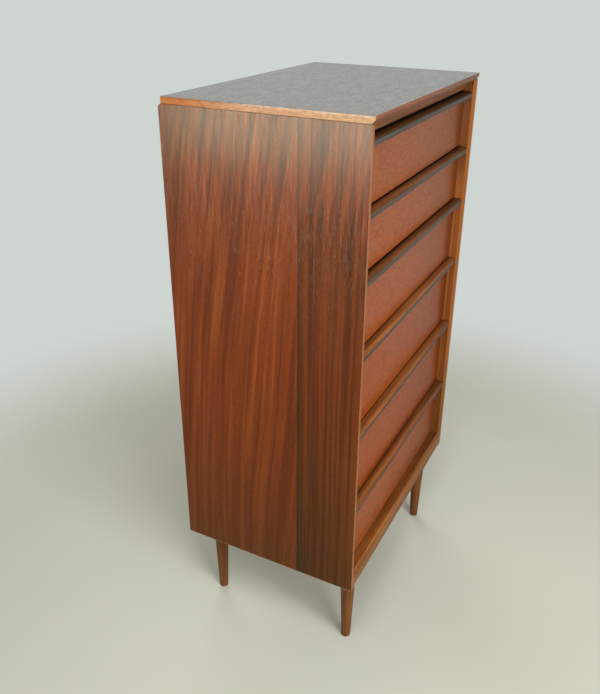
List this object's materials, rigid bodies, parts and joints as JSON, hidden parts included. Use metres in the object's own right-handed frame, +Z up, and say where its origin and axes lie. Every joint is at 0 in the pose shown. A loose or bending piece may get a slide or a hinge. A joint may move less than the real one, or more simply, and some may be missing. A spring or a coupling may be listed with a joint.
{
  "type": "tallboy",
  "caption": "Tall narrow chest of graded drawers with full-width lip handles, in a bevelled case on turned tapered legs.",
  "frame": {"origin": "on the floor under the middle of the overall width and depth", "axes": "+Z up, +X to the right seen from the front, the drawers face -Y"},
  "size_m": [0.616, 0.4144, 1.2],
  "materials": {
    "case_veneer": "satin figured veneer, red-brown",
    "top_veneer": "satin veneer, brown",
    "solid_teak": "satin polished solid wood",
    "pale_lipping": "satin pale solid lipping",
    "front_veneer": "satin straight-grained veneer, orange-red",
    "ebonised": "satin dark stain",
    "inner_hardwood": "plain planed hardwood",
    "drawer_wood": "matt sealed hardwood",
    "thin_board": "matt thin board",
    "screw_steel": "plain steel"
  },
  "bodies": {
    "case": {"left_side": "case_veneer", "right_side": "case_veneer", "top_panel": "top_veneer", "top_front_lipping": "solid_teak", "top_left_lipping": "pale_lipping", "top_right_lipping": "pale_lipping", "top_rail": "solid_teak", "bottom_rail": "solid_teak", "bottom_panel": "case_veneer", "back_panel": "thin_board", "left_bearer": "inner_hardwood", "right_bearer": "inner_hardwood", "bearer_screws": "screw_steel", "front_legs": "solid_teak", "back_legs": "solid_teak", "left_runners": "inner_hardwood", "right_runners": "inner_hardwood"},
    "drawer_1": {"drawer_1_front": "front_veneer", "drawer_1_lip": "solid_teak", "drawer_1_lip_strip": "ebonised", "drawer_1_left_side": "drawer_wood", "drawer_1_right_side": "drawer_wood", "drawer_1_back": "drawer_wood", "drawer_1_bottom": "thin_board"},
    "drawer_2": {"drawer_2_front": "front_veneer", "drawer_2_lip": "solid_teak", "drawer_2_lip_strip": "ebonised", "drawer_2_left_side": "drawer_wood", "drawer_2_right_side": "drawer_wood", "drawer_2_back": "drawer_wood", "drawer_2_bottom": "thin_board"},
    "drawer_3": {"drawer_3_front": "front_veneer", "drawer_3_lip": "solid_teak", "drawer_3_lip_strip": "ebonised", "drawer_3_left_side": "drawer_wood", "drawer_3_right_side": "drawer_wood", "drawer_3_back": "drawer_wood", "drawer_3_bottom": "thin_board"},
    "drawer_4": {"drawer_4_front": "front_veneer", "drawer_4_lip": "solid_teak", "drawer_4_lip_strip": "ebonised", "drawer_4_left_side": "drawer_wood", "drawer_4_right_side": "drawer_wood", "drawer_4_back": "drawer_wood", "drawer_4_bottom": "thin_board"},
    "drawer_5": {"drawer_5_front": "front_veneer", "drawer_5_lip": "solid_teak", "drawer_5_lip_strip": "ebonised", "drawer_5_left_side": "drawer_wood", "drawer_5_right_side": "drawer_wood", "drawer_5_back": "drawer_wood", "drawer_5_bottom": "thin_board"},
    "drawer_6": {"drawer_6_front": "front_veneer", "drawer_6_lip": "solid_teak", "drawer_6_lip_strip": "ebonised", "drawer_6_left_side": "drawer_wood", "drawer_6_right_side": "drawer_wood", "drawer_6_back": "drawer_wood", "drawer_6_bottom": "thin_board"}
  },
  "joints": [
    {"name": "drawer_1_slide", "type": "slide", "parent": "case", "child": "drawer_1", "axis": [0, -1, 0], "range_m": [0, 0.28]},
    {"name": "drawer_2_slide", "type": "slide", "parent": "case", "child": "drawer_2", "axis": [0, -1, 0], "range_m": [0, 0.28]},
    {"name": "drawer_3_slide", "type": "slide", "parent": "case", "child": "drawer_3", "axis": [0, -1, 0], "range_m": [0, 0.28]},
    {"name": "drawer_4_slide", "type": "slide", "parent": "case", "child": "drawer_4", "axis": [0, -1, 0], "range_m": [0, 0.28]},
    {"name": "drawer_5_slide", "type": "slide", "parent": "case", "child": "drawer_5", "axis": [0, -1, 0], "range_m": [0, 0.28]},
    {"name": "drawer_6_slide", "type": "slide", "parent": "case", "child": "drawer_6", "axis": [0, -1, 0], "range_m": [0, 0.28]}
  ]
}
